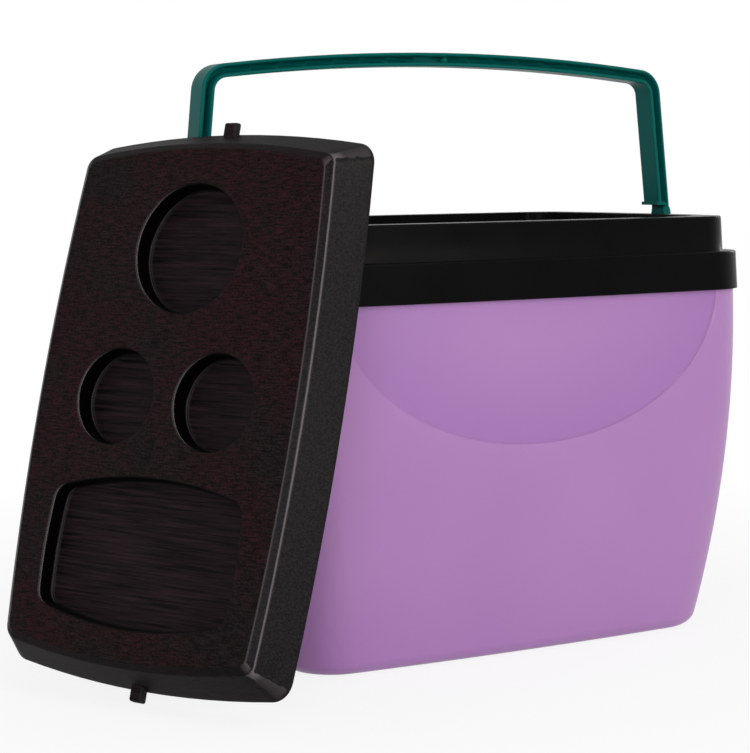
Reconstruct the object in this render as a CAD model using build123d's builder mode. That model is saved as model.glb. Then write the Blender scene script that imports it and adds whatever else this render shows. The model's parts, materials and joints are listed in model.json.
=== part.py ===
"""Hand-carried insulated box: a bellied outer shell with a black rim, a bail handle that
folds over its two end pivots, and a lift-off lid that stands leaning on the front left corner.

Millimetres.  +Z is up, +X runs along the box towards its right end and -Y is the front.  The
origin is the middle of the flat base.  The lid's pieces are drawn in the lid's own frame, with
x along the lid, z out of its top face and the mouth at z = 0, and are placed on lid_plane.
"""

import os
from math import cos, radians, sin

from build123d import *

os.makedirs("parts", exist_ok=True)

# Outer shell
shell_half_length = 167.5
shell_half_depth = 116.1
base_draw_in = 18.2
belly = 1.26
shell_wall = 2.4
shell_corner = 33.0
base_corner = 34.0
base_round = 11.0
section_count = 6
panel_half_width = 133.0
panel_drop = 89.0
panel_tuck = 2.4
panel_recess_depth = 0.9
foot_groove_inset = 26.0
foot_corner = 16.0
foot_groove_width = 8.0
foot_groove_depth = 1.2
shell_top_gap = 0.5

# Bow of the plan outline: how far the middle of a side stands out past its corners
end_bow = 8.0
side_bow = 5.0

# Rim collar: skirt round the shell's top edge, ledge, upright wall, inward rim and inner lip
skirt_bottom = 217.2
skirt_height = 23.6
skirt_wall = 2.3
skirt_gap = 0.2
collar_setback = 8.6
collar_height = 21.8
collar_wall = 2.5
ledge_thickness = 2.5
rim_thickness = 2.5
rim_width = 15.4
lip_wall = 2.2
lip_depth = 10.0
mould_draft = 1.1
rim_edge_round = 1.2

# Inner liner
mouth_corner = 20.0
tub_taper = 12.5
tub_floor = 24.0
liner_wall = 1.8
liner_gap = 1.0
liner_flange_width = 5.0
liner_floor_round = 8.0

# Foam
foam_gap = 0.3

# Handle: an I-section bail with a hooked foot and a pivot eye at each end
handle_rise = 98.3
handle_thickness = 8.4
handle_width = 17.4
handle_arch = 10.2
handle_lean_in = 9.2
handle_corner_round = 17.0
handle_flange = 2.3
handle_web = 5.6
grip_rib = 2.2
hook_gap = 0.4
hook_plate = 2.2
hook_reach = 1.8
foot_step = 3.4
foot_flare = 3.0
eye_radius = 9.4
eye_thickness = 5.8
neck_half_width = 6.4
handle_edge_round = 1.0

# Pivots
pivot_drop = 10.4
pivot_radius = 4.0
pivot_head_radius = 6.2
pivot_head_thickness = 1.8
boss_radius = 7.5
boss_reach = 10.0
press_gap = 0.02
running_gap = 0.08
side_gap = 0.3
pin_lead = 0.8
pin_head_round = 0.8

# Lid
lid_end_set_in = 0.4
lid_side_set_in = 2.8
lid_end_bow = 8.0
lid_side_bow = 6.5
lid_corner = 13.0
lid_height = 24.0
lid_shoulder = 18.5
lid_side_inset = 8.8
lid_top_inset = 15.2
lid_shoulder_corner = 8.5
lid_top_corner = 6.5
lid_edge_round = 1.2
lid_wall = 2.3
well_depth = 12.0
well_edge_round = 1.6
well_floor_round = 2.5
large_well_radius = 37.5
large_well_x = 87.6
small_well_radius = 27.4
small_well_x = 0.7
small_well_y = 35.5
tray_half_length = 42.0
tray_half_width = 68.9
tray_end_bow = 9.3
tray_side_bow = 2.0
tray_corner = 9.0
tray_x = -86.4
tray_depth = 11.0
lug_reach = 6.5
lug_width = 8.0
lug_thickness = 5.0
lug_round = 1.4

# Lid underside
lid_liner_thickness = 1.8
lid_liner_lift = 0.4
lid_liner_gap = 0.3
ring_depth = 6.0
ring_wall = 2.0
ring_gap = 1.2

# How the lid stands: the way its top face looks, how far it leans back, where it leans
lid_heading = 206.4
lid_lean = 16.5
lid_along = -34.5
lean_gap = 0.3

# Levels and sizes that follow
base_half_length = shell_half_length - base_draw_in
base_half_depth = shell_half_depth - base_draw_in
skirt_top = skirt_bottom + skirt_height
shell_top = skirt_top - ledge_thickness - shell_top_gap
panel_top = skirt_bottom + panel_tuck
rim_top = skirt_top + collar_height
rim_underside = rim_top - rim_thickness
skirt_half_length = shell_half_length + skirt_gap + skirt_wall
skirt_half_depth = shell_half_depth + skirt_gap + skirt_wall
skirt_corner = shell_corner + skirt_gap + skirt_wall
collar_half_length = skirt_half_length - collar_setback
collar_half_depth = skirt_half_depth - collar_setback
collar_corner = skirt_corner - collar_setback
mouth_half_length = collar_half_length - rim_width
mouth_half_depth = collar_half_depth - rim_width
liner_growth = lip_wall + liner_gap + liner_wall
liner_half_length = mouth_half_length + liner_growth
liner_half_depth = mouth_half_depth + liner_growth
liner_corner = mouth_corner + liner_growth
tub_half_length = mouth_half_length - tub_taper
tub_half_depth = mouth_half_depth - tub_taper
pivot_height = rim_top - pivot_drop
hook_height = rim_top + lug_thickness + hook_gap
foot_top = hook_height + hook_plate
handle_top = hook_height + handle_rise
eye_inner_x = collar_half_length + boss_reach + side_gap
eye_outer_x = eye_inner_x + eye_thickness
eye_flank_y = 0.95 * eye_radius
eye_flank_z = pivot_height + 0.3 * eye_radius
handle_foot_x = eye_inner_x + foot_step
arch_end_x = handle_foot_x - handle_lean_in
arch_end_z = handle_top - handle_arch
splay = (handle_foot_x - arch_end_x) / (arch_end_z - hook_height)
sill_z = skirt_top
sill_x = handle_foot_x + splay * (hook_height - sill_z)
hook_tip_x = handle_foot_x - handle_thickness
pin_end_x = collar_half_length - mould_draft - collar_wall + side_gap
pin_head_x = eye_outer_x + side_gap
lid_half_length = collar_half_length - lid_end_set_in
lid_half_depth = collar_half_depth - lid_side_set_in
lid_liner_inset = (
    lid_wall
    + lid_liner_gap
    + lid_side_inset * (lid_liner_lift + lid_liner_thickness) / lid_shoulder
)
lug_middle_x = lid_half_length + (lug_reach - lid_wall) / 2


def bowed_outline(plane, half_length, half_depth, ends, sides, corner):
    """A rounded rectangle whose ends and sides bow outwards, on the given plane."""
    x = half_length - ends
    y = half_depth - sides
    with BuildSketch(plane) as outline:
        with BuildLine():
            ThreePointArc((-x, -y), (0, -half_depth), (x, -y))
            ThreePointArc((x, -y), (half_length, 0), (x, y))
            ThreePointArc((x, y), (0, half_depth), (-x, y))
            ThreePointArc((-x, y), (-half_length, 0), (-x, -y))
        make_face()
        fillet(outline.vertices(), corner)
    return outline.sketch


def body_outline(height, half_length, half_depth, corner):
    """The box's own plan outline at a height."""
    return bowed_outline(
        Plane.XY.offset(height), half_length, half_depth, end_bow, side_bow, corner
    )


def lid_outline(height, inset, corner):
    """The lid's plan outline at a height above its mouth, drawn in by an inset."""
    return bowed_outline(
        Plane.XY.offset(height),
        lid_half_length - inset,
        lid_half_depth - inset,
        lid_end_bow,
        lid_side_bow,
        corner,
    )


def shell_outline(height, inset):
    """The shell's outline at a height, drawn in from the skirt towards the base."""
    down = 1 - height / skirt_bottom
    drawn_in = (1 - belly) * down + belly * down * down
    return body_outline(
        height,
        shell_half_length + (base_half_length - shell_half_length) * drawn_in - inset,
        shell_half_depth + (base_half_depth - shell_half_depth) * drawn_in - inset,
        shell_corner + (base_corner - shell_corner) * drawn_in - inset,
    )


def foot_outline(inset):
    """The base's outline drawn in by an inset, for the groove that leaves a flat foot."""
    return body_outline(0, base_half_length - inset, base_half_depth - inset, foot_corner)


def shell_form(inset, low, high):
    """The shell's solid shape drawn in by an inset, with its rounded base, between heights."""
    rise = skirt_bottom - low
    heights = [low + rise * step / (section_count - 1) for step in range(section_count)]
    with BuildPart() as form:
        loft([shell_outline(height, inset) for height in heights])
        extrude(shell_outline(skirt_bottom, inset), amount=high - skirt_bottom)
        fillet(form.faces().sort_by(Axis.Z)[0].edges(), base_round - low)
    return form.part


# ---------------------------------------------------------------- outer shell
# The recessed panel hangs from the skirt as half an ellipse, front and back.
with BuildPart() as panel_skin:
    with BuildSketch(Plane.XZ) as panel_outline:
        with Locations((0, panel_top)):
            Ellipse(panel_half_width, panel_drop)
            Rectangle(
                3 * panel_half_width,
                2 * panel_drop,
                align=(Align.CENTER, Align.MIN),
                mode=Mode.SUBTRACT,
            )
    extrude(amount=skirt_half_depth, both=True)
    add(shell_form(panel_recess_depth, 0, shell_top), mode=Mode.SUBTRACT)

with BuildPart() as outer_shell:
    add(shell_form(0, 0, shell_top))
    add(shell_form(shell_wall, shell_wall, shell_top), mode=Mode.SUBTRACT)
    add(panel_skin.part, mode=Mode.SUBTRACT)
    with BuildSketch() as foot_groove:
        add(foot_outline(foot_groove_inset))
        add(foot_outline(foot_groove_inset + foot_groove_width), mode=Mode.SUBTRACT)
    extrude(amount=foot_groove_depth, mode=Mode.SUBTRACT)
outer_shell.part.label = "outer_shell"
export_step(outer_shell.part, "parts/outer_shell.step")


# ---------------------------------------------------------------- rim collar
with BuildPart() as rim_collar:
    loft(
        [
            body_outline(skirt_bottom, skirt_half_length, skirt_half_depth, skirt_corner),
            body_outline(
                skirt_top,
                skirt_half_length - mould_draft,
                skirt_half_depth - mould_draft,
                skirt_corner - mould_draft,
            ),
        ],
        ruled=True,
    )
    fillet(rim_collar.faces().sort_by(Axis.Z)[-1].edges(), rim_edge_round)
    loft(
        [
            body_outline(skirt_top, collar_half_length, collar_half_depth, collar_corner),
            body_outline(
                rim_top,
                collar_half_length - mould_draft,
                collar_half_depth - mould_draft,
                collar_corner - mould_draft,
            ),
        ],
        ruled=True,
    )
    fillet(rim_collar.faces().sort_by(Axis.Z)[-1].edges(), rim_edge_round)
    with BuildSketch(Plane.YZ.offset(collar_half_length + boss_reach)) as boss_ends:
        with Locations((0, pivot_height)):
            Circle(boss_radius)
    extrude(amount=-2 * (collar_half_length + boss_reach))
    extrude(
        body_outline(
            skirt_bottom,
            shell_half_length + skirt_gap,
            shell_half_depth + skirt_gap,
            shell_corner + skirt_gap,
        ),
        amount=skirt_height - ledge_thickness,
        mode=Mode.SUBTRACT,
    )
    extrude(
        body_outline(
            skirt_bottom,
            collar_half_length - mould_draft - collar_wall,
            collar_half_depth - mould_draft - collar_wall,
            collar_corner - mould_draft - collar_wall,
        ),
        amount=rim_underside - skirt_bottom,
        mode=Mode.SUBTRACT,
    )
    extrude(
        body_outline(
            rim_underside,
            mouth_half_length + lip_wall,
            mouth_half_depth + lip_wall,
            mouth_corner + lip_wall,
        ),
        amount=-lip_depth,
    )
    extrude(
        body_outline(rim_top, mouth_half_length, mouth_half_depth, mouth_corner),
        amount=-rim_thickness - lip_depth,
        mode=Mode.SUBTRACT,
    )
    with BuildSketch(Plane.YZ.offset(collar_half_length + boss_reach)) as pivot_bores:
        with Locations((0, pivot_height)):
            Circle(pivot_radius + press_gap)
    extrude(amount=-2 * (collar_half_length + boss_reach), mode=Mode.SUBTRACT)
rim_collar.part.label = "rim_collar"
export_step(rim_collar.part, "parts/rim_collar.step")


# ---------------------------------------------------------------- inner liner
def tub_outline(height, inset):
    """The liner's outline at a height, tapering from the mouth to the floor."""
    down = (rim_underside - height) / (rim_underside - tub_floor)
    return body_outline(
        height,
        liner_half_length + (tub_half_length - liner_half_length) * down - inset,
        liner_half_depth + (tub_half_depth - liner_half_depth) * down - inset,
        liner_corner - inset,
    )


with BuildPart() as tub_outside:
    loft([tub_outline(tub_floor, 0), tub_outline(rim_underside, 0)], ruled=True)
    fillet(tub_outside.faces().sort_by(Axis.Z)[0].edges(), liner_floor_round)

with BuildPart() as tub_inside:
    loft(
        [
            tub_outline(tub_floor + liner_wall, liner_wall),
            tub_outline(rim_underside, liner_wall),
        ],
        ruled=True,
    )
    fillet(tub_inside.faces().sort_by(Axis.Z)[0].edges(), liner_floor_round - liner_wall)

with BuildPart() as inner_liner:
    extrude(
        body_outline(
            rim_underside - liner_wall,
            liner_half_length + liner_flange_width,
            liner_half_depth + liner_flange_width,
            liner_corner + liner_flange_width,
        ),
        amount=liner_wall,
    )
    add(tub_outside.part)
    add(tub_inside.part, mode=Mode.SUBTRACT)
inner_liner.part.label = "inner_liner"
export_step(inner_liner.part, "parts/inner_liner.step")


# ---------------------------------------------------------------- body foam
# One moulded block fills the space between shell and liner, stepped in under the collar.
with BuildPart() as body_foam:
    add(
        shell_form(
            shell_wall + foam_gap,
            shell_wall,
            skirt_top - ledge_thickness - foam_gap,
        )
    )
    extrude(
        body_outline(
            skirt_bottom,
            collar_half_length - mould_draft - collar_wall - foam_gap,
            collar_half_depth - mould_draft - collar_wall - foam_gap,
            collar_corner - mould_draft - collar_wall - foam_gap,
        ),
        amount=rim_underside - liner_wall - foam_gap - skirt_bottom,
    )
    loft(
        [
            tub_outline(tub_floor, -foam_gap),
            tub_outline(rim_underside, -foam_gap),
        ],
        ruled=True,
        mode=Mode.SUBTRACT,
    )
body_foam.part.label = "body_foam"
export_step(body_foam.part, "parts/body_foam.step")


# ---------------------------------------------------------------- handle
def bail_region(inset):
    """The area inside the handle's arch, drawn in by an inset, seen from the front."""
    with BuildSketch(Plane.XZ) as region:
        with BuildLine():
            ThreePointArc((-arch_end_x, arch_end_z), (0, handle_top), (arch_end_x, arch_end_z))
            Line((arch_end_x, arch_end_z), (sill_x, sill_z))
            Line((sill_x, sill_z), (-sill_x, sill_z))
            Line((-sill_x, sill_z), (-arch_end_x, arch_end_z))
        make_face()
        fillet(region.vertices().group_by(Axis.Y)[-1], handle_corner_round)
        if inset > 0:
            offset(amount=-inset, mode=Mode.REPLACE)
    return region.sketch


def bail_band(outer_inset, inner_inset, low):
    """A band along the arch between two insets, cut off below a height."""
    with BuildSketch(Plane.XZ) as band:
        add(bail_region(outer_inset))
        add(bail_region(inner_inset), mode=Mode.SUBTRACT)
        with Locations((0, low)):
            Rectangle(
                3 * sill_x,
                handle_top,
                align=(Align.CENTER, Align.MAX),
                mode=Mode.SUBTRACT,
            )
    return band.sketch


# One foot: its side profile met by its end profile, a neck widening into the pivot eye.
with BuildPart() as foot:
    with BuildSketch(Plane.YZ.offset(eye_inner_x)) as eye_outline:
        with Locations((0, pivot_height)):
            Circle(eye_radius)
        with BuildLine():
            Polyline(
                (-eye_flank_y, eye_flank_z),
                (-neck_half_width, hook_height - foot_flare),
                (-neck_half_width, foot_top),
                (neck_half_width, foot_top),
                (neck_half_width, hook_height - foot_flare),
                (eye_flank_y, eye_flank_z),
                close=True,
            )
        make_face()
    extrude(amount=eye_thickness)
    with BuildSketch(Plane.XZ) as foot_side:
        with BuildLine():
            Polyline(
                (eye_inner_x, pivot_height - eye_radius),
                (eye_outer_x, pivot_height - eye_radius),
                (eye_outer_x, hook_height - foot_flare),
                (handle_foot_x - splay * hook_plate, foot_top),
                (eye_inner_x, foot_top),
                close=True,
            )
        make_face()
    extrude(amount=handle_width, both=True, mode=Mode.INTERSECT)

with BuildPart() as handle:
    with BuildSketch(Plane.XZ) as arch:
        add(bail_band(0, handle_thickness, hook_height))
        with Locations((hook_tip_x, hook_height), (-hook_tip_x, hook_height)):
            Rectangle(2 * hook_reach, hook_plate, align=(Align.CENTER, Align.MIN))
    extrude(amount=handle_width / 2, both=True)
    rims = handle.faces().filter_by(Axis.Y).edges().filter_by(
        lambda edge: edge.center().Z > foot_top + handle_thickness
    )
    fillet(rims, handle_edge_round)
    for face_side in (Plane.XZ, -Plane.XZ):
        with BuildSketch(face_side.offset(handle_web / 2)) as groove:
            add(bail_band(handle_flange, handle_thickness - handle_flange, foot_top))
            with Locations((0, handle_top)):
                Rectangle(
                    grip_rib,
                    4 * handle_thickness,
                    mode=Mode.SUBTRACT,
                )
        extrude(amount=handle_width, mode=Mode.SUBTRACT)
    add(foot.part)
    add(foot.part.mirror(Plane.YZ))
    with BuildSketch(Plane.YZ.offset(eye_outer_x)) as eye_bores:
        with Locations((0, pivot_height)):
            Circle(pivot_radius + running_gap)
    extrude(amount=-2 * eye_outer_x, mode=Mode.SUBTRACT)
handle.part.label = "handle"
export_step(handle.part, "parts/handle.step")


# ---------------------------------------------------------------- pivot pins
with BuildPart() as pivot_pin_right:
    with BuildSketch(Plane.XZ) as pin_profile:
        with BuildLine():
            Polyline(
                (pin_end_x, pivot_height),
                (pin_end_x, pivot_height + pivot_radius - pin_lead),
                (pin_end_x + pin_lead, pivot_height + pivot_radius),
                (pin_head_x, pivot_height + pivot_radius),
                (pin_head_x, pivot_height + pivot_head_radius),
                (pin_head_x + pivot_head_thickness, pivot_height + pivot_head_radius),
                (pin_head_x + pivot_head_thickness, pivot_height),
                close=True,
            )
        make_face()
        fillet(pin_profile.vertices().group_by(Axis.X)[-1].sort_by(Axis.Y)[-1], pin_head_round)
    revolve(axis=Axis((0, 0, pivot_height), (1, 0, 0)))
pivot_pin_right.part.label = "pivot_pin_right"
export_step(pivot_pin_right.part, "parts/pivot_pin_right.step")

with BuildPart() as pivot_pin_left:
    add(pivot_pin_right.part.mirror(Plane.YZ))
pivot_pin_left.part.label = "pivot_pin_left"
export_step(pivot_pin_left.part, "parts/pivot_pin_left.step")


# ---------------------------------------------------------------- lid, in its own frame
def lid_form(wall, low):
    """The lid's solid shape drawn in by a wall, from a height above the mouth to its top."""
    shoulder = lid_shoulder - wall / 2
    low_inset = wall + lid_side_inset * low / shoulder
    with BuildPart() as form:
        loft(
            [
                lid_outline(low, low_inset, lid_corner),
                lid_outline(shoulder, lid_side_inset + wall, lid_shoulder_corner),
            ],
            ruled=True,
        )
        loft(
            [
                lid_outline(shoulder, lid_side_inset + wall, lid_shoulder_corner),
                lid_outline(lid_height - wall, lid_top_inset + wall, lid_top_corner),
            ],
            ruled=True,
        )
    return form.part


def ring_outline(inset):
    """The outline of the locating ring, a loose fit inside the liner's mouth."""
    return bowed_outline(
        Plane.XY,
        mouth_half_length - ring_gap - inset,
        mouth_half_depth - ring_gap - inset,
        end_bow,
        side_bow,
        mouth_corner - ring_gap - inset,
    )


def tray_outline(height, grow):
    """The tray's outline at a height above the mouth, grown by a wall."""
    with BuildSketch(Plane.XY.offset(height)) as tray:
        with Locations((tray_x, 0)):
            add(
                bowed_outline(
                    Plane.XY,
                    tray_half_length + grow,
                    tray_half_width + grow,
                    tray_end_bow,
                    tray_side_bow,
                    tray_corner + grow,
                )
            )
    return tray.sketch


well_places = (
    (large_well_x, 0, large_well_radius),
    (small_well_x, small_well_y, small_well_radius),
    (small_well_x, -small_well_y, small_well_radius),
)


def well_blocks(grow):
    """The three cup wells and the tray as solids, grown by a wall at the sides and below."""
    with BuildPart() as blocks:
        for well_x, well_y, radius in well_places:
            with BuildSketch(Plane.XY.offset(lid_height)):
                with Locations((well_x, well_y)):
                    Circle(radius + grow)
            extrude(amount=-well_depth - grow)
        extrude(tray_outline(lid_height, grow), amount=-tray_depth - grow)
        floors = blocks.faces().filter_by(Plane.XY).filter_by(
            lambda face: face.center().Z < lid_height - tray_depth / 2
        )
        fillet(floors.edges(), well_floor_round + grow)
    return blocks.part


with BuildPart() as lid_cavity:
    add(lid_form(lid_wall, 0))
    add(well_blocks(lid_wall), mode=Mode.SUBTRACT)

with BuildPart() as lug:
    with BuildSketch(Plane.XZ) as lug_side:
        with Locations((lug_middle_x, lug_thickness / 2)):
            Rectangle(lug_reach + lid_wall, lug_thickness)
        fillet(lug_side.vertices().group_by(Axis.X)[-1], lug_round)
    extrude(amount=lug_width / 2, both=True)
    fillet(lug.faces().filter_by(Axis.Y).edges().group_by(Axis.X)[-1], lug_round / 2)

with BuildPart() as flat_cover:
    add(lid_form(0, 0))
    top_edges = flat_cover.faces().sort_by(Axis.Z)[-1].edges()
    shoulder_edges = flat_cover.edges().filter_by_position(
        Axis.Z, lid_shoulder - lid_edge_round, lid_shoulder + lid_edge_round
    )
    fillet(top_edges + shoulder_edges, lid_edge_round)
    add(well_blocks(0), mode=Mode.SUBTRACT)
    fillet(flat_cover.faces().sort_by(Axis.Z)[-1].inner_wires().edges(), well_edge_round)
    add(lug.part)
    add(lug.part.mirror(Plane.YZ))
    add(lid_cavity.part, mode=Mode.SUBTRACT)

# The panel that closes the lid from below, with the ring that drops into the box's mouth.
with BuildPart() as flat_liner:
    extrude(
        lid_outline(lid_liner_lift, lid_liner_inset, lid_corner),
        amount=lid_liner_thickness,
    )
    with BuildSketch(Plane.XY.offset(lid_liner_lift)) as ring:
        add(ring_outline(0))
        add(ring_outline(ring_wall), mode=Mode.SUBTRACT)
    extrude(amount=-lid_liner_lift - ring_depth)

with BuildPart() as flat_foam:
    add(lid_form(lid_wall + foam_gap, lid_liner_lift + lid_liner_thickness + foam_gap))
    add(well_blocks(lid_wall + foam_gap), mode=Mode.SUBTRACT)


# ---------------------------------------------------------------- lid, leaning
# The lid stands on its lower lug with its long side upright, leaning back until the
# panel under it meets the corner of the rim collar.
heading = radians(lid_heading)
lean = radians(lid_lean)
upward = Vector(0, 0, 1)
facing = Vector(cos(heading), sin(heading), 0)
lid_normal = facing * cos(lean) + upward * sin(lean)
lid_length_way = upward * cos(lean) - facing * sin(lean)
lid_cross_way = lid_length_way.cross(lid_normal)
tilt = Plane(origin=(0, 0, 0), x_dir=lid_length_way, z_dir=lid_normal)
standing_height = -flat_cover.part.moved(tilt.location).bounding_box().min.Z
rim_reach = tilt.to_local_coords(rim_collar.part).bounding_box().max.Z
mouth_reach = rim_reach + lean_gap - lid_liner_lift
out_from_middle = (mouth_reach - standing_height * sin(lean)) / cos(lean)
lid_plane = Plane(
    origin=facing * out_from_middle + upward * standing_height + lid_cross_way * lid_along,
    x_dir=lid_length_way,
    z_dir=lid_normal,
)

with BuildPart() as lid_cover:
    add(flat_cover.part.moved(lid_plane.location))
lid_cover.part.label = "lid_cover"
export_step(lid_cover.part, "parts/lid_cover.step")

with BuildPart() as lid_liner:
    add(flat_liner.part.moved(lid_plane.location))
lid_liner.part.label = "lid_liner"
export_step(lid_liner.part, "parts/lid_liner.step")

with BuildPart() as lid_foam:
    add(flat_foam.part.moved(lid_plane.location))
lid_foam.part.label = "lid_foam"
export_step(lid_foam.part, "parts/lid_foam.step")
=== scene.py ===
"""A hand-carried insulated box with its lid off and leaning on the front left corner.

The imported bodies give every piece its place.  Each shown piece is a smooth-shaded copy of its
solid with the finish of the real one: satin lilac shell, black rim, teal bail and grained lid.
Metres, +Z up, -Y the front.
"""

import json
import math

import bmesh
import bpy
from mathutils import Matrix, Vector


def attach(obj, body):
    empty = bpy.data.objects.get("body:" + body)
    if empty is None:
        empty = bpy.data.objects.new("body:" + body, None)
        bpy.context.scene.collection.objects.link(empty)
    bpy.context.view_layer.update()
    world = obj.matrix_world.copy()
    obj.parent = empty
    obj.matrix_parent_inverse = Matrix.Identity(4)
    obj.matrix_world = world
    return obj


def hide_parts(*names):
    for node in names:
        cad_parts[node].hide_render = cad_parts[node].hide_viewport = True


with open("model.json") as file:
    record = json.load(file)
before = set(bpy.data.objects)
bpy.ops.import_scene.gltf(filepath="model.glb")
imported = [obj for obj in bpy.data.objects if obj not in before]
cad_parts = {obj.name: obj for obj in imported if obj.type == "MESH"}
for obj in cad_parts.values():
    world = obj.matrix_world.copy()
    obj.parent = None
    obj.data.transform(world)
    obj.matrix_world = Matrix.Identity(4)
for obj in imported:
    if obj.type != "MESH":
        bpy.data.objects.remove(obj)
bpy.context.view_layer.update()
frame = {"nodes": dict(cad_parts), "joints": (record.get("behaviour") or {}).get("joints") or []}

MM = 0.001
MM_PER_METRE = 1000.0

# Which body each dressed piece rides on and its finish, which is also its record slot
PIECES = {
    "outer_shell": ("box", "shell_plastic"),
    "rim_collar": ("box", "rim_plastic"),
    "inner_liner": ("box", "liner_plastic"),
    "body_foam": ("box", "foam"),
    "pivot_pin_left": ("box", "rim_plastic"),
    "pivot_pin_right": ("box", "rim_plastic"),
    "handle": ("bail", "handle_plastic"),
    "lid_cover": ("lid", "lid_plastic"),
    "lid_liner": ("lid", "lid_liner_plastic"),
    "lid_foam": ("lid", "foam"),
}

# Faces that meet at more than this stay crisp
CRISP_ANGLE = math.radians(28)
MERGE_DISTANCE = 0.002 * MM

# The recessed panel on the shell's front and back: half an ellipse under the skirt
PANEL_TOP = 219.6 * MM
PANEL_HALF_WIDTH = 133 * MM
PANEL_DROP = 89 * MM

# The finish of the lid's floors, over its mouth: all of it below the first height and none
# above the second.  The painted highlight on the wells' rounds is at full strength this far
# above that.
FLOOR_TOP = 13.2 * MM
FLOOR_BLEND = 14.6 * MM
HIGHLIGHT_FADE = 4 * MM

# The lid's edges are eased by this much as they are worn
LID_EASE = 2.0 * MM

# The lid's shoulder edge and its face lie this high over its mouth, and the sides lie outside
# this half length and half width
SHOULDER_HEIGHT = 18.5 * MM
FACE_HEIGHT = 24 * MM
SIDES_OUTSIDE = (138 * MM, 85 * MM)

# The shoulder edge goes up by this and in by these shares of its half length and half width,
# which leaves a narrow worn shoulder
SHOULDER_RISE = 2.5 * MM
SHOULDER_SHRINK = (0.015, 0.0245)

# The lid's patterns: the scale of each across the lid, where less than 1 draws it out, its
# size in mm, its detail and its roughness
LID_PATTERNS = {
    # Grain, drawn at 0.9 mm where the real pits are about 0.6 mm, so that it shows
    "grain": (1.0, 0.9, 2.0, 0.6),
    # Grains that run together, 8 mm long across the lid and 1 mm along it
    "dashes": (0.12, 1.0, 2.0, 0.6),
    # Patches of tone, about 45 mm across
    "patches": (1.0, 45, 3.0, 0.6),
    # Cutter marks on the floors, 45 mm long and about 1.6 mm apart
    "streaks": (0.035, 1.6, 4.0, 0.7),
}

# How far out of the lid the shading normal turns on the shoulder's two rounds and on the lips
# of the wells, where the painted highlight lines lie: the middle of each window and its half
# width
LID_ROUNDS = ((0.64, 0.09), (0.92, 0.055))

# How far to the right or left the eased normal turns where a long side begins and where it is
# in full
SIDE_BEGINS = 0.2
SIDE_FULL = 0.7

# How much of a pale tone the rounds of the right side take as a painted highlight, where the
# lamps glint, and the share of it that is left down at the floors
PAINTED_HIGHLIGHT_SHARE = 0.7
PAINTED_HIGHLIGHT_AT_FLOORS = 0.25

# Polypropylene bends light by this much
PLASTIC_IOR = 1.49

# Nearly all of a noise lies between these
NOISE_LOW = 0.3
NOISE_HIGH = 0.7

# The Mix node's sockets for colour
COLOUR_A = 6
COLOUR_B = 7
COLOUR_RESULT = 2

# Half the side of the floor in metres
FLOOR_REACH = 6.0
# Up to the first distance from the box, in metres, the floor is paper that glows by this share,
# and from the second distance it is plain white
FLOOR_PAPER = 0.25
FLOOR_GLOW = 0.84
FLOOR_WHITE = 0.7

# The background's light on the object, against 1 where it is seen
WORLD_LIGHT = 0.5

# Each lamp's bearing and height in degrees, its distance, width and depth in metres, its power
# in watts and its colour.  It faces the middle of the box.
BOX_MIDDLE = Vector((0, 0, 0.15))
SOFTBOXES = {
    "key_softbox": (20, 32, 2.2, 0.6, 0.6, 7, "#FFF8EE"),
    "front_strip": (8, 10, 2.2, 0.12, 0.4, 8, "#FFFAF4"),
    "left_softbox": (-40, 14, 2.2, 0.7, 0.7, 10, "#F2F0FF"),
    "right_strip": (106, 18, 2.0, 0.15, 0.4, 5, "#FFFFFF"),
    "top_softbox": (0, 86, 1.9, 1.4, 1.2, 2, "#FFFFFF"),
}

# The camera's place in metres, its bearing, height and roll in degrees, its lens in mm
CAMERA_PLACE = Vector((-0.67197, -1.12826, 0.29497))
CAMERA_BEARING = -28.935
CAMERA_HEIGHT = 5.801
CAMERA_ROLL = -0.622
CAMERA_LENS = 98.255


# ------------------------------------------------------------------ node helpers
def linear(hex_colour):
    """An sRGB hex colour as linear RGBA."""
    channels = [int(hex_colour[place : place + 2], 16) / 255 for place in (1, 3, 5)]
    return [c / 12.92 if c <= 0.04045 else ((c + 0.055) / 1.055) ** 2.4 for c in channels] + [1]


def add_node(tree, kind, inputs=None, **settings):
    """Adds a node, sets its settings and fills its inputs with values or links."""
    node = tree.nodes.new(kind)
    for name, value in settings.items():
        setattr(node, name, value)
    for key, value in (inputs or {}).items():
        if isinstance(value, bpy.types.NodeSocket):
            tree.links.new(value, node.inputs[key])
        else:
            node.inputs[key].default_value = value
    return node


def new_material(name):
    """A material with an empty node tree."""
    material = bpy.data.materials.new(name)
    material.use_nodes = True
    material.node_tree.nodes.clear()
    return material, material.node_tree


# ------------------------------------------------------------------ the lid's own frame
def lid_frame():
    """The lid's frame as a matrix: x along it, z out of its top, origin in its mouth."""
    lift = next(joint for joint in frame["joints"] if joint["name"] == "lid_lift")
    out = Vector(lift["axis"]).normalized()
    facing = Vector((out.x, out.y, 0)).normalized()
    lean = math.asin(out.z)
    along = Vector((0, 0, math.cos(lean))) - facing * math.sin(lean)
    across = out.cross(along)
    points = [vertex.co for vertex in frame["nodes"]["lid_cover"].data.vertices]
    middles = []
    for way in (along, across):
        reach = [point.dot(way) for point in points]
        middles.append((min(reach) + max(reach)) / 2)
    mouth = min(point.dot(out) for point in points)
    origin = along * middles[0] + across * middles[1] + out * mouth
    turn = Matrix((along, across, out)).transposed().to_4x4()
    return Matrix.Translation(origin) @ turn


LID = lid_frame()


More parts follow.
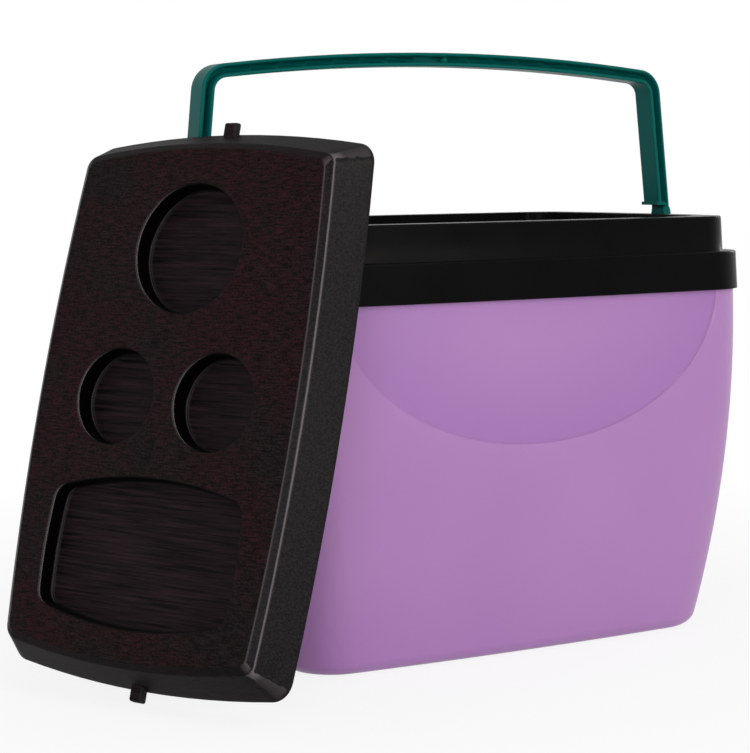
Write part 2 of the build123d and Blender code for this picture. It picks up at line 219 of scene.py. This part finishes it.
# ------------------------------------------------------------------ plain moulded finishes
def moulded_look(tree, patch_size, patch_detail, peel_size, peel_depth, tones, dullness, edge):
    """Shader inputs of a moulded plastic: its tone and roughness drift in patches.

    The sizes of the patches and of the orange peel, the peel's depth and the radius of the
    rounded edges are in mm.  No radius leaves the edges to the mesh.
    """
    place = add_node(tree, "ShaderNodeTexCoord").outputs["Object"]
    patches = add_node(
        tree,
        "ShaderNodeTexNoise",
        {"Vector": place, "Scale": MM_PER_METRE / patch_size, "Detail": patch_detail},
    ).outputs["Fac"]
    peel = add_node(
        tree,
        "ShaderNodeTexNoise",
        {"Vector": place, "Scale": MM_PER_METRE / peel_size, "Detail": 1.0},
    ).outputs["Fac"]
    tone = add_node(
        tree,
        "ShaderNodeMix",
        {"Factor": patches, COLOUR_A: linear(tones[0]), COLOUR_B: linear(tones[1])},
        data_type="RGBA",
    ).outputs[COLOUR_RESULT]
    roughness = add_node(
        tree,
        "ShaderNodeMapRange",
        {
            "Value": patches,
            "From Min": NOISE_LOW,
            "From Max": NOISE_HIGH,
            "To Min": dullness[0],
            "To Max": dullness[1],
        },
    ).outputs["Result"]
    relief = {"Distance": peel_depth * MM, "Height": peel}
    if edge:
        rounded = add_node(tree, "ShaderNodeBevel", {"Radius": edge * MM}, samples=6)
        relief["Normal"] = rounded.outputs["Normal"]
    normal = add_node(tree, "ShaderNodeBump", relief).outputs["Normal"]
    return {"Base Color": tone, "Roughness": roughness, "IOR": PLASTIC_IOR, "Normal": normal}


def lilac_shell():
    """Polypropylene, injection moulded in a polished mould.

    To the eye: an even lilac satin with a faint waxy depth, a slow drift of tone over the
    big walls, and a very fine orange peel that softens every highlight. The recessed panel
    carries a painted shade, deepest at its rounded foot.
    """
    material, tree = new_material("polypropylene_moulded_lilac")
    # Flow marks of the melt, about 90 mm apart, and orange peel, drawn at 2.4 mm where the
    # real one is nearer 1 mm, so that it shows
    look = moulded_look(
        tree,
        patch_size=90,
        patch_detail=1.0,
        peel_size=2.4,
        peel_depth=0.006,
        tones=("#A476B2", "#AD80B7"),
        dullness=(0.36, 0.42),
        edge=None,
    )
    # How far out a point lies in the recessed panel's half ellipse: 0 its middle, 1 its edge
    in_panel = add_node(
        tree,
        "ShaderNodeMapping",
        {
            "Vector": add_node(tree, "ShaderNodeTexCoord").outputs["Object"],
            "Location": (0, 0, -PANEL_TOP / PANEL_DROP),
            "Scale": (1 / PANEL_HALF_WIDTH, 0, 1 / PANEL_DROP),
        },
    ).outputs["Vector"]
    reach = add_node(
        tree, "ShaderNodeVectorMath", {0: in_panel}, operation="LENGTH"
    ).outputs["Value"]
    inside = add_node(
        tree,
        "ShaderNodeMapRange",
        {"Value": reach, "From Min": 0.99, "From Max": 1.0, "To Min": 1.0, "To Max": 0.0},
    ).outputs["Result"]
    # Painted shade: the recessed panel is darkened most at its rounded foot, where its tilted
    # surface falls in shade, and less towards the skirt
    depth = add_node(
        tree,
        "ShaderNodeMapRange",
        {"Value": reach, "From Min": 0.35, "From Max": 1.0, "To Min": 0.2, "To Max": 1.0},
    ).outputs["Result"]
    painted_panel_shade = add_node(
        tree, "ShaderNodeMath", {0: inside, 1: depth}, operation="MULTIPLY"
    ).outputs["Value"]
    look["Base Color"] = add_node(
        tree,
        "ShaderNodeMix",
        {"Factor": painted_panel_shade, COLOUR_A: look["Base Color"], COLOUR_B: linear("#9F71AF")},
        data_type="RGBA",
    ).outputs[COLOUR_RESULT]
    look["Specular IOR Level"] = 0.4
    look["Subsurface Weight"] = 0.08
    look["Subsurface Radius"] = (3 * MM, 2 * MM, 3 * MM)
    look["Subsurface Scale"] = 1.0
    shader = add_node(tree, "ShaderNodeBsdfPrincipled", look)
    add_node(tree, "ShaderNodeOutputMaterial", {"Surface": shader.outputs["BSDF"]})
    return material


def black_rim():
    """Polypropylene filled with carbon black, injection moulded in a polished mould.

    To the eye: almost no body colour, a soft sheen, and thin grey lines of light along
    the rounded edges, a little duller where hands and the lid have rubbed.
    """
    material, tree = new_material("polypropylene_moulded_black")
    # Rubbed patches, about 35 mm across, and orange peel, drawn at 3 mm where the real one
    # is nearer 1 mm, so that it shows
    look = moulded_look(
        tree,
        patch_size=35,
        patch_detail=3.0,
        peel_size=3.0,
        peel_depth=0.008,
        tones=("#040405", "#080709"),
        dullness=(0.26, 0.36),
        edge=0.6,
    )
    look["Specular IOR Level"] = 0.04
    shader = add_node(tree, "ShaderNodeBsdfPrincipled", look)
    add_node(tree, "ShaderNodeOutputMaterial", {"Surface": shader.outputs["BSDF"]})
    return material


def white_liner():
    """Polypropylene, natural white and food safe, injection moulded.

    To the eye: a clean, slightly cool white with a soft gloss and faint tonal drift.
    """
    material, tree = new_material("polypropylene_moulded_white")
    # Flow marks of the melt, about 70 mm apart, and orange peel, drawn at 2.4 mm where the
    # real one is nearer 1 mm, so that it shows
    look = moulded_look(
        tree,
        patch_size=70,
        patch_detail=1.0,
        peel_size=2.4,
        peel_depth=0.008,
        tones=("#D6D8DA", "#DFDFDD"),
        dullness=(0.32, 0.4),
        edge=0.5,
    )
    shader = add_node(tree, "ShaderNodeBsdfPrincipled", look)
    add_node(tree, "ShaderNodeOutputMaterial", {"Surface": shader.outputs["BSDF"]})
    return material


def teal_bail():
    """Polypropylene, teal, injection moulded as one I-shaped bow.

    To the eye: a deep satin teal, a little duller and lighter in patches where it is held.
    """
    material, tree = new_material("polypropylene_moulded_teal")
    # Held patches, about 40 mm long, and orange peel, drawn at 2 mm where the real one is
    # nearer 1 mm, so that it shows
    look = moulded_look(
        tree,
        patch_size=40,
        patch_detail=1.0,
        peel_size=2.0,
        peel_depth=0.008,
        tones=("#005852", "#00605A"),
        dullness=(0.33, 0.42),
        edge=0.6,
    )
    look["Specular IOR Level"] = 0.06
    shader = add_node(tree, "ShaderNodeBsdfPrincipled", look)
    add_node(tree, "ShaderNodeOutputMaterial", {"Surface": shader.outputs["BSDF"]})
    return material


def foam_beads():
    """Expanded polystyrene, steam moulded.

    To the eye: matt white beads about 3 mm across, pressed flat against each other with
    a fine grey seam round each.
    """
    material, tree = new_material("polystyrene_foam_beads")
    place = add_node(tree, "ShaderNodeTexCoord").outputs["Object"]
    beads = add_node(
        tree, "ShaderNodeTexVoronoi", {"Vector": place, "Scale": MM_PER_METRE / 3.2}
    ).outputs["Distance"]
    tone = add_node(
        tree,
        "ShaderNodeMix",
        {"Factor": beads, COLOUR_A: linear("#E6E6E3"), COLOUR_B: linear("#CFCFCA")},
        data_type="RGBA",
    ).outputs[COLOUR_RESULT]
    crown = add_node(
        tree,
        "ShaderNodeMapRange",
        {"Value": beads, "From Min": 0.0, "From Max": 0.8, "To Min": 1.0, "To Max": 0.0},
    ).outputs["Result"]
    normal = add_node(
        tree, "ShaderNodeBump", {"Distance": 0.25 * MM, "Height": crown}
    ).outputs["Normal"]
    shader = add_node(
        tree,
        "ShaderNodeBsdfPrincipled",
        {
            "Base Color": tone,
            "Roughness": 0.85,
            "Subsurface Weight": 0.15,
            "Subsurface Radius": (4 * MM, 4 * MM, 4 * MM),
            "Subsurface Scale": 1.0,
            "Normal": normal,
        },
    )
    add_node(tree, "ShaderNodeOutputMaterial", {"Surface": shader.outputs["BSDF"]})
    return material


# ------------------------------------------------------------------ the lid's finish
def lid_patterns(tree, place):
    """The lid's patterns by name."""
    patterns = {}
    for name, (across, size, detail, roughness) in LID_PATTERNS.items():
        drawn_out = add_node(
            tree, "ShaderNodeMapping", {"Vector": place, "Scale": (1.0, across, 1.0)}
        ).outputs["Vector"]
        patterns[name] = add_node(
            tree,
            "ShaderNodeTexNoise",
            {
                "Vector": drawn_out,
                "Scale": MM_PER_METRE / size,
                "Detail": detail,
                "Roughness": roughness,
            },
        ).outputs["Fac"]
    return patterns


def outside_wells(tree, split):
    """How far along or across the lid a point lies, over 1 beyond the wells and the tray."""
    shares = []
    for axis, limit in zip("XY", SIDES_OUTSIDE):
        signed = add_node(
            tree, "ShaderNodeMath", {0: split.outputs[axis], 1: limit}, operation="DIVIDE"
        ).outputs["Value"]
        shares.append(
            add_node(tree, "ShaderNodeMath", {0: signed}, operation="ABSOLUTE").outputs["Value"]
        )
    return add_node(
        tree, "ShaderNodeMath", {0: shares[0], 1: shares[1]}, operation="MAXIMUM"
    ).outputs["Value"]


def painted_highlight_rounds(tree, height, eased_out, eased_right):
    """How strongly a point takes the painted highlight: on the rounds facing the lid's right
    side, where the lamps glint.
    """
    rounds = [
        add_node(
            tree, "ShaderNodeMath", {0: eased_out, 1: middle, 2: window}, operation="COMPARE"
        ).outputs["Value"]
        for middle, window in LID_ROUNDS
    ]
    on_a_round = add_node(
        tree, "ShaderNodeMath", {0: rounds[0], 1: rounds[1]}, operation="ADD"
    ).outputs["Value"]
    on_right = add_node(
        tree,
        "ShaderNodeMapRange",
        {
            "Value": eased_right,
            "From Min": SIDE_BEGINS,
            "From Max": SIDE_FULL,
            "To Min": 0.0,
            "To Max": PAINTED_HIGHLIGHT_SHARE,
        },
    ).outputs["Result"]
    # The painted highlight is fainter on the rounds down at the floors
    highlight_by_height = add_node(
        tree,
        "ShaderNodeMapRange",
        {
            "Value": height,
            "From Min": FLOOR_BLEND,
            "From Max": FLOOR_BLEND + HIGHLIGHT_FADE,
            "To Min": PAINTED_HIGHLIGHT_AT_FLOORS,
            "To Max": 1.0,
        },
    ).outputs["Result"]
    highlight_strength = add_node(
        tree, "ShaderNodeMath", {0: on_right, 1: highlight_by_height}, operation="MULTIPLY"
    ).outputs["Value"]
    return add_node(
        tree, "ShaderNodeMath", {0: on_a_round, 1: highlight_strength}, operation="MULTIPLY"
    ).outputs["Value"]


def grained_lid():
    """Polypropylene filled with carbon black, moulded against a spark-eroded grain.

    To the eye: a dry brown-black face speckled with lighter grains that run together into
    short dashes across the lid, plainer and greyer long sides, partly where the mould is drawn
    off along the grain and partly a painted sheen, short ends darkened as painted shade, and
    drag lines on the floors of the wells and tray. The walls of the wells and tray are laid
    near black as painted shade, and the rounds of the right side carry painted highlight lines.
    """
    material, tree = new_material("polypropylene_grained_black")
    texture = add_node(tree, "ShaderNodeTexCoord")
    place = add_node(
        tree,
        "ShaderNodeMapping",
        {
            "Vector": texture.outputs["Object"],
            "Location": LID.to_translation(),
            "Rotation": LID.to_euler(),
        },
        vector_type="TEXTURE",
    ).outputs["Vector"]
    split = add_node(tree, "ShaderNodeSeparateXYZ", {"Vector": place})
    patterns = lid_patterns(tree, place)
    speckle = add_node(
        tree,
        "ShaderNodeMath",
        {0: patterns["grain"], 1: patterns["dashes"]},
        operation="ADD",
    ).outputs["Value"]

    # How far the surface, and the shading normal with every edge eased, turn out of the lid,
    # and how far the eased normal turns to its right
    eased = add_node(
        tree, "ShaderNodeBevel", {"Radius": LID_EASE}, samples=8
    ).outputs["Normal"]
    out = LID.col[2].to_3d()
    right = -LID.col[1].to_3d()
    facing_out, eased_out, eased_right = (
        add_node(
            tree, "ShaderNodeVectorMath", {0: normal, 1: way}, operation="DOT_PRODUCT"
        ).outputs["Value"]
        for normal, way in ((texture.outputs["Normal"], out), (eased, out), (eased, right))
    )
    sideways = add_node(
        tree, "ShaderNodeMath", {0: eased_right}, operation="ABSOLUTE"
    ).outputs["Value"]

    # Each share goes from none to all between its two values
    lit_grain, lit_streak, browner, face_share, long_share, outer_share = (
        add_node(
            tree, "ShaderNodeMapRange", {"Value": value, "From Min": none, "From Max": full}
        ).outputs["Result"]
        for value, none, full in (
            (speckle, 0.84, 1.18),
            (patterns["streaks"], 0.36, 0.66),
            (patterns["patches"], 0.38, 0.6),
            (facing_out, 0.8, 0.98),
            (sideways, SIDE_BEGINS, SIDE_FULL),
            (outside_wells(tree, split), 1.0, 1.02),
        )
    )
    floor_share = add_node(
        tree,
        "ShaderNodeMapRange",
        {
            "Value": split.outputs["Z"],
            "From Min": FLOOR_TOP,
            "From Max": FLOOR_BLEND,
            "To Min": 1.0,
            "To Max": 0.0,
        },
    ).outputs["Result"]

    # The tones of the grains' light parts, the floors, the long sides, made lighter as a painted
    # sheen, and the short ends, made darker as painted shade
    light_grain, streaked, sheened_long_side, shaded_short_end = (
        add_node(
            tree,
            "ShaderNodeMix",
            {"Factor": share, COLOUR_A: linear(dark), COLOUR_B: linear(light)},
            data_type="RGBA",
        ).outputs[COLOUR_RESULT]
        for share, dark, light in (
            (browner, "#211A1A", "#2D1519"),
            (lit_streak, "#050304", "#281D1F"),
            (lit_grain, "#131112", "#252223"),
            (lit_grain, "#050304", "#171112"),
        )
    )
    mottled = add_node(
        tree,
        "ShaderNodeMix",
        {"Factor": lit_grain, COLOUR_A: linear("#040202"), COLOUR_B: light_grain},
        data_type="RGBA",
    ).outputs[COLOUR_RESULT]
    face = add_node(
        tree,
        "ShaderNodeMix",
        {"Factor": floor_share, COLOUR_A: mottled, COLOUR_B: streaked},
        data_type="RGBA",
    ).outputs[COLOUR_RESULT]
    outer_side = add_node(
        tree,
        "ShaderNodeMix",
        {"Factor": long_share, COLOUR_A: shaded_short_end, COLOUR_B: sheened_long_side},
        data_type="RGBA",
    ).outputs[COLOUR_RESULT]
    # Painted shade: the walls of the wells and the tray are laid near black, as the shade in
    # these recesses
    side = add_node(
        tree,
        "ShaderNodeMix",
        {"Factor": outer_share, COLOUR_A: linear("#050304"), COLOUR_B: outer_side},
        data_type="RGBA",
    ).outputs[COLOUR_RESULT]
    tone = add_node(
        tree,
        "ShaderNodeMix",
        {"Factor": face_share, COLOUR_A: side, COLOUR_B: face},
        data_type="RGBA",
    ).outputs[COLOUR_RESULT]
    # Painted highlight: lines of pale tone on the rounds of the right side, where the lamps
    # glint
    highlight_mask = painted_highlight_rounds(tree, split.outputs["Z"], eased_out, eased_right)
    highlighted_tone = add_node(
        tree,
        "ShaderNodeMix",
        {"Factor": highlight_mask, COLOUR_A: tone, COLOUR_B: linear("#7A7374")},
        data_type="RGBA",
    ).outputs[COLOUR_RESULT]

    # The long sides are drawn smooth as they leave the mould; the face and ends stay dry
    roughness = add_node(
        tree, "ShaderNodeMapRange", {"Value": long_share, "To Min": 0.6, "To Max": 0.28}
    ).outputs["Result"]
    normal = add_node(
        tree,
        "ShaderNodeBump",
        {"Strength": 0.4, "Distance": 0.1 * MM, "Height": speckle, "Normal": eased},
    ).outputs["Normal"]
    shader = add_node(
        tree,
        "ShaderNodeBsdfPrincipled",
        {
            "Base Color": highlighted_tone,
            "Roughness": roughness,
            "IOR": PLASTIC_IOR,
            "Specular IOR Level": 0.06,
            "Normal": normal,
        },
    )
    add_node(tree, "ShaderNodeOutputMaterial", {"Surface": shader.outputs["BSDF"]})
    return material


FINISHES = {
    "shell_plastic": lilac_shell(),
    "rim_plastic": black_rim(),
    "liner_plastic": white_liner(),
    "foam": foam_beads(),
    "handle_plastic": teal_bail(),
    "lid_plastic": grained_lid(),
}
FINISHES["lid_liner_plastic"] = FINISHES["liner_plastic"]


# ------------------------------------------------------------------ the dressed pieces
def narrow_shoulder(form):
    """Moves the shoulder edge of the lid's outer side up and in towards its face."""
    into_lid = LID.inverted()
    turn = into_lid.to_3x3()
    form.normal_update()
    for vertex in form.verts:
        place = into_lid @ vertex.co
        outside = abs(place.x) > SIDES_OUTSIDE[0] or abs(place.y) > SIDES_OUTSIDE[1]
        if not outside or (turn @ vertex.normal).z <= 0:
            continue
        # All of the shift at the shoulder edge, none at the mouth or the face
        share = min(
            place.z / SHOULDER_HEIGHT,
            (FACE_HEIGHT - place.z) / (FACE_HEIGHT - SHOULDER_HEIGHT),
        )
        share = max(share, 0)
        place.x *= 1 - share * SHOULDER_SHRINK[0]
        place.y *= 1 - share * SHOULDER_SHRINK[1]
        place.z += share * SHOULDER_RISE
        vertex.co = LID @ place


def dress(node_name, body, slot):
    """A smooth-shaded copy of a solid's mesh in its finish, which stands for the solid."""
    mesh = frame["nodes"][node_name].data.copy()
    form = bmesh.new()
    form.from_mesh(mesh)
    bmesh.ops.remove_doubles(form, verts=form.verts, dist=MERGE_DISTANCE)
    if node_name == "lid_cover":
        narrow_shoulder(form)
    form.to_mesh(mesh)
    form.free()
    mesh.shade_smooth()
    mesh.set_sharp_from_angle(angle=CRISP_ANGLE)
    mesh.materials.clear()
    mesh.materials.append(FINISHES[slot])
    rough = bpy.data.objects.new(node_name + "_rough", mesh)
    bpy.context.scene.collection.objects.link(rough)

    # The big faces set the shading at their edges, so that they look flat up to the rounds
    shading = rough.modifiers.new("shading", "WEIGHTED_NORMAL")
    shading.keep_sharp = True
    graph = bpy.context.evaluated_depsgraph_get()
    finished = bpy.data.meshes.new_from_object(
        rough.evaluated_get(graph), preserve_all_data_layers=True, depsgraph=graph
    )
    finished.name = node_name + "_skin"
    bpy.data.objects.remove(rough)
    bpy.data.meshes.remove(mesh)
    piece = bpy.data.objects.new(node_name + "_skin", finished)
    bpy.context.scene.collection.objects.link(piece)
    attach(piece, body)
    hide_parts(node_name)


for piece_name, (piece_body, piece_slot) in PIECES.items():
    dress(piece_name, piece_body, piece_slot)


# ------------------------------------------------------------------ studio
def direct_view(tree):
    """1 for rays that show the background as it is: the camera's, mirrors' and glass's."""
    rays = add_node(tree, "ShaderNodeLightPath")
    seen = add_node(
        tree,
        "ShaderNodeMath",
        {0: rays.outputs["Is Camera Ray"], 1: rays.outputs["Is Glossy Ray"]},
        operation="ADD",
    ).outputs["Value"]
    return add_node(
        tree,
        "ShaderNodeMath",
        {0: seen, 1: rays.outputs["Is Transmission Ray"]},
        operation="ADD",
        use_clamp=True,
    ).outputs["Value"]


def white_floor():
    """A wide pale floor that melts into the white background and keeps the box's shadow."""
    mesh = bpy.data.meshes.new("studio_floor")
    corners = [
        (-FLOOR_REACH, -FLOOR_REACH, 0),
        (FLOOR_REACH, -FLOOR_REACH, 0),
        (FLOOR_REACH, FLOOR_REACH, 0),
        (-FLOOR_REACH, FLOOR_REACH, 0),
    ]
    mesh.from_pydata(corners, [], [(0, 1, 2, 3)])
    floor = bpy.data.objects.new("studio_floor", mesh)
    bpy.context.scene.collection.objects.link(floor)
    material, tree = new_material("studio_floor_paper")
    paper = add_node(tree, "ShaderNodeBsdfDiffuse", {"Color": linear("#F4F4F4")})
    glow = add_node(tree, "ShaderNodeEmission", {"Color": linear("#FFFFFF"), "Strength": 1.0})
    place = add_node(tree, "ShaderNodeTexCoord").outputs["Object"]
    distance = add_node(
        tree, "ShaderNodeVectorMath", {0: place}, operation="LENGTH"
    ).outputs["Value"]
    far = add_node(
        tree,
        "ShaderNodeMapRange",
        {
            "Value": distance,
            "From Min": FLOOR_PAPER,
            "From Max": FLOOR_WHITE,
            "To Min": FLOOR_GLOW,
            "To Max": 1.0,
        },
    ).outputs["Result"]
    share = add_node(
        tree, "ShaderNodeMath", {0: direct_view(tree), 1: far}, operation="MULTIPLY"
    ).outputs["Value"]
    surface = add_node(
        tree,
        "ShaderNodeMixShader",
        {0: share, 1: paper.outputs["BSDF"], 2: glow.outputs["Emission"]},
    )
    add_node(tree, "ShaderNodeOutputMaterial", {"Surface": surface.outputs["Shader"]})
    mesh.materials.append(material)


def white_world():
    """A white background for direct view and a softer even light on the object."""
    world = bpy.data.worlds.new("studio_white")
    bpy.context.scene.world = world
    world.use_nodes = True
    tree = world.node_tree
    tree.nodes.clear()
    strength = add_node(
        tree,
        "ShaderNodeMapRange",
        {"Value": direct_view(tree), "To Min": WORLD_LIGHT, "To Max": 1.0},
    ).outputs["Result"]
    backdrop = add_node(
        tree, "ShaderNodeBackground", {"Color": linear("#FFFFFF"), "Strength": strength}
    )
    add_node(tree, "ShaderNodeOutputWorld", {"Surface": backdrop.outputs["Background"]})


def direction(bearing, height):
    """Towards a bearing to the right of the front and a height over the floor, in degrees."""
    turn = math.radians(bearing)
    lift = math.radians(height)
    return Vector(
        (math.sin(turn) * math.cos(lift), -math.cos(turn) * math.cos(lift), math.sin(lift))
    )


def softbox(name, bearing, height, distance, width, depth, watts, colour):
    """A rectangular area light turned towards the middle of the box."""
    light = bpy.data.lights.new(name, "AREA")
    light.shape = "RECTANGLE"
    light.size = width
    light.size_y = depth
    light.energy = watts
    light.color = linear(colour)[:3]
    lamp = bpy.data.objects.new(name, light)
    back = direction(bearing, height)
    lamp.location = BOX_MIDDLE + back * distance
    lamp.rotation_euler = back.to_track_quat("Z", "Y").to_euler()
    bpy.context.scene.collection.objects.link(lamp)


def viewpoint():
    """The camera: a long lens just above the rim, off the box's front left corner."""
    roll = math.radians(CAMERA_ROLL)
    back = direction(CAMERA_BEARING, CAMERA_HEIGHT)
    right = (-back).cross(Vector((0, 0, 1))).normalized()
    up = back.cross(right)
    rolled_right = right * math.cos(roll) + up * math.sin(roll)
    rolled_up = up * math.cos(roll) - right * math.sin(roll)
    lens = bpy.data.cameras.new("camera")
    lens.lens = CAMERA_LENS
    camera = bpy.data.objects.new("camera", lens)
    turn = Matrix((rolled_right, rolled_up, back)).transposed().to_4x4()
    camera.matrix_world = Matrix.Translation(CAMERA_PLACE) @ turn
    bpy.context.scene.collection.objects.link(camera)
    bpy.context.scene.camera = camera


white_floor()
white_world()
for lamp_name, lamp_settings in SOFTBOXES.items():
    softbox(lamp_name, *lamp_settings)
viewpoint()
bpy.context.scene.view_settings.view_transform = "Standard"
